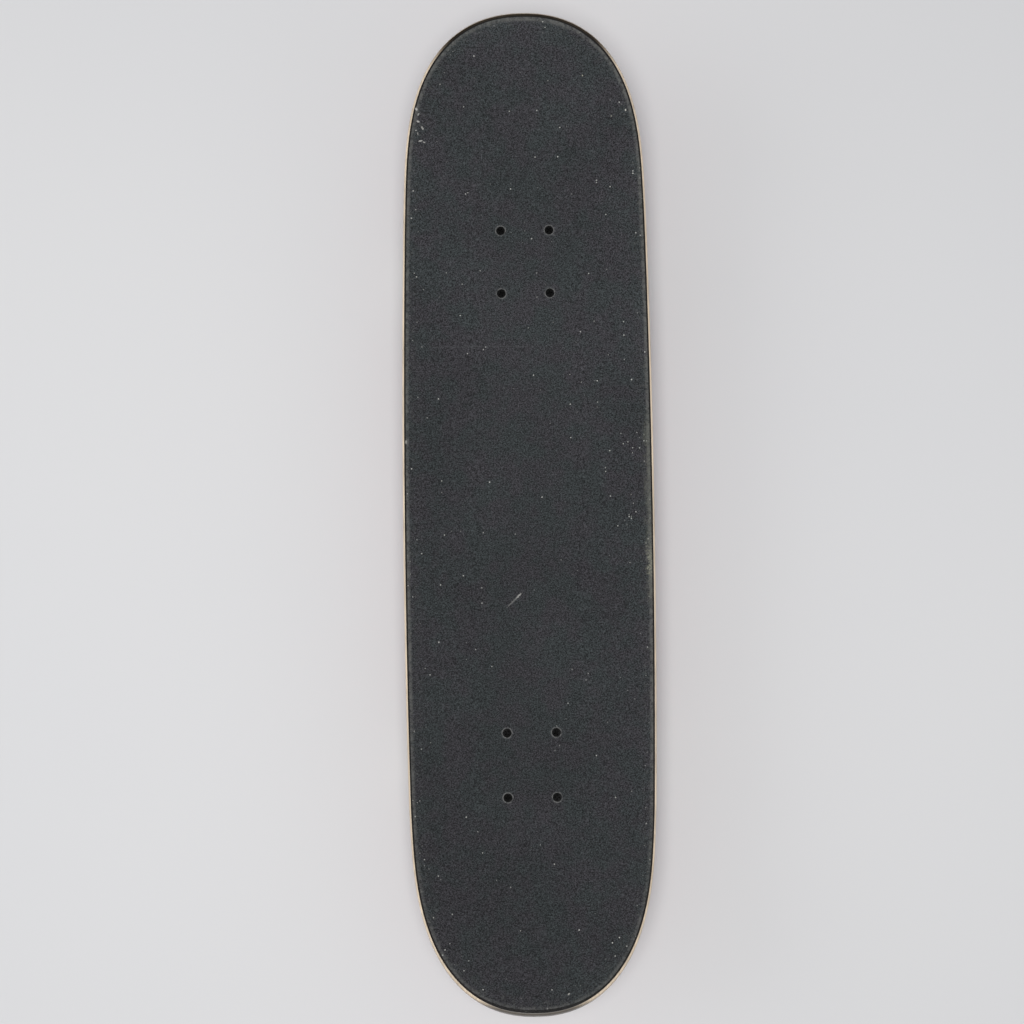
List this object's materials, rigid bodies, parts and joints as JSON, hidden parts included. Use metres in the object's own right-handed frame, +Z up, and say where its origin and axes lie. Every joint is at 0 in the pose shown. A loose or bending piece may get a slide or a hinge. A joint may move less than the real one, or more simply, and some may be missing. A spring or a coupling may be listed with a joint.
{
  "type": "skateboard",
  "caption": "Street skateboard: gripped, concave maple deck with upturned nose and tail, bolted to steering kingpin trucks that carry free-rolling urethane wheels.",
  "frame": {"origin": "on the ground under the middle of the board", "axes": "+X to the rider's right with the nose ahead, +Y towards the nose, +Z up"},
  "size_m": [0.2118, 0.8297, 0.1448],
  "materials": {
    "maple": "seven cross-laminated maple plies, stained underside, satin lacquer",
    "grip": "coarse black abrasive grit, greyed by use",
    "black_steel": "black oxide, satin",
    "cast_aluminium": "raw casting, tumbled",
    "zinc_steel": "bright zinc plate",
    "bearing_steel": "ground steel",
    "bushing_urethane": "satin urethane",
    "cup_urethane": "matt urethane",
    "wheel_urethane": "satin white urethane, dirtied on the tread"
  },
  "bodies": {
    "deck": {"deck": "maple", "grip_tape": "grip", "front_deck_bolt_1": "black_steel", "front_deck_nut_1": "black_steel", "front_deck_bolt_2": "black_steel", "front_deck_nut_2": "black_steel", "front_deck_bolt_3": "black_steel", "front_deck_nut_3": "black_steel", "front_deck_bolt_4": "black_steel", "front_deck_nut_4": "black_steel", "front_baseplate": "cast_aluminium", "front_pivot_cup": "cup_urethane", "front_kingpin": "zinc_steel", "front_board_side_bushing": "bushing_urethane", "front_road_side_bushing": "bushing_urethane", "front_board_side_washer": "zinc_steel", "front_road_side_washer": "zinc_steel", "front_kingpin_nut": "zinc_steel", "rear_deck_bolt_1": "black_steel", "rear_deck_nut_1": "black_steel", "rear_deck_bolt_2": "black_steel", "rear_deck_nut_2": "black_steel", "rear_deck_bolt_3": "black_steel", "rear_deck_nut_3": "black_steel", "rear_deck_bolt_4": "black_steel", "rear_deck_nut_4": "black_steel", "rear_baseplate": "cast_aluminium", "rear_pivot_cup": "cup_urethane", "rear_kingpin": "zinc_steel", "rear_board_side_bushing": "bushing_urethane", "rear_road_side_bushing": "bushing_urethane", "rear_board_side_washer": "zinc_steel", "rear_road_side_washer": "zinc_steel", "rear_kingpin_nut": "zinc_steel"},
    "front_hanger": {"front_hanger": "cast_aluminium", "front_axle": "zinc_steel", "front_left_axle_nut": "zinc_steel", "front_right_axle_nut": "zinc_steel"},
    "front_left_wheel": {"front_left_wheel": "wheel_urethane", "front_left_inner_bearing": "bearing_steel", "front_left_outer_bearing": "bearing_steel", "front_left_spacer": "zinc_steel"},
    "front_right_wheel": {"front_right_wheel": "wheel_urethane", "front_right_inner_bearing": "bearing_steel", "front_right_outer_bearing": "bearing_steel", "front_right_spacer": "zinc_steel"},
    "rear_hanger": {"rear_hanger": "cast_aluminium", "rear_axle": "zinc_steel", "rear_left_axle_nut": "zinc_steel", "rear_right_axle_nut": "zinc_steel"},
    "rear_left_wheel": {"rear_left_wheel": "wheel_urethane", "rear_left_inner_bearing": "bearing_steel", "rear_left_outer_bearing": "bearing_steel", "rear_left_spacer": "zinc_steel"},
    "rear_right_wheel": {"rear_right_wheel": "wheel_urethane", "rear_right_inner_bearing": "bearing_steel", "rear_right_outer_bearing": "bearing_steel", "rear_right_spacer": "zinc_steel"}
  },
  "joints": [
    {"name": "front_truck_steer", "type": "hinge", "parent": "deck", "child": "front_hanger", "pos_m": [0, 0.23839, 0.068], "axis": [0, 0.921, 0.3896], "range_deg": [-12, 12], "stiffness_Nm_per_rad": 90, "deforming": ["front_board_side_bushing", "front_road_side_bushing"]},
    {"name": "front_left_wheel_spin", "type": "hinge", "parent": "front_hanger", "child": "front_left_wheel", "pos_m": [-0.082, 0.21239, 0.026], "axis": [1, 0, 0], "continuous": true},
    {"name": "front_right_wheel_spin", "type": "hinge", "parent": "front_hanger", "child": "front_right_wheel", "pos_m": [0.082, 0.21239, 0.026], "axis": [1, 0, 0], "continuous": true},
    {"name": "rear_truck_steer", "type": "hinge", "parent": "deck", "child": "rear_hanger", "pos_m": [0, -0.23959, 0.068], "axis": [0, -0.921, 0.3896], "range_deg": [-12, 12], "stiffness_Nm_per_rad": 90, "deforming": ["rear_board_side_bushing", "rear_road_side_bushing"]},
    {"name": "rear_left_wheel_spin", "type": "hinge", "parent": "rear_hanger", "child": "rear_left_wheel", "pos_m": [-0.082, -0.21359, 0.026], "axis": [1, 0, 0], "continuous": true},
    {"name": "rear_right_wheel_spin", "type": "hinge", "parent": "rear_hanger", "child": "rear_right_wheel", "pos_m": [0.082, -0.21359, 0.026], "axis": [1, 0, 0], "continuous": true}
  ]
}
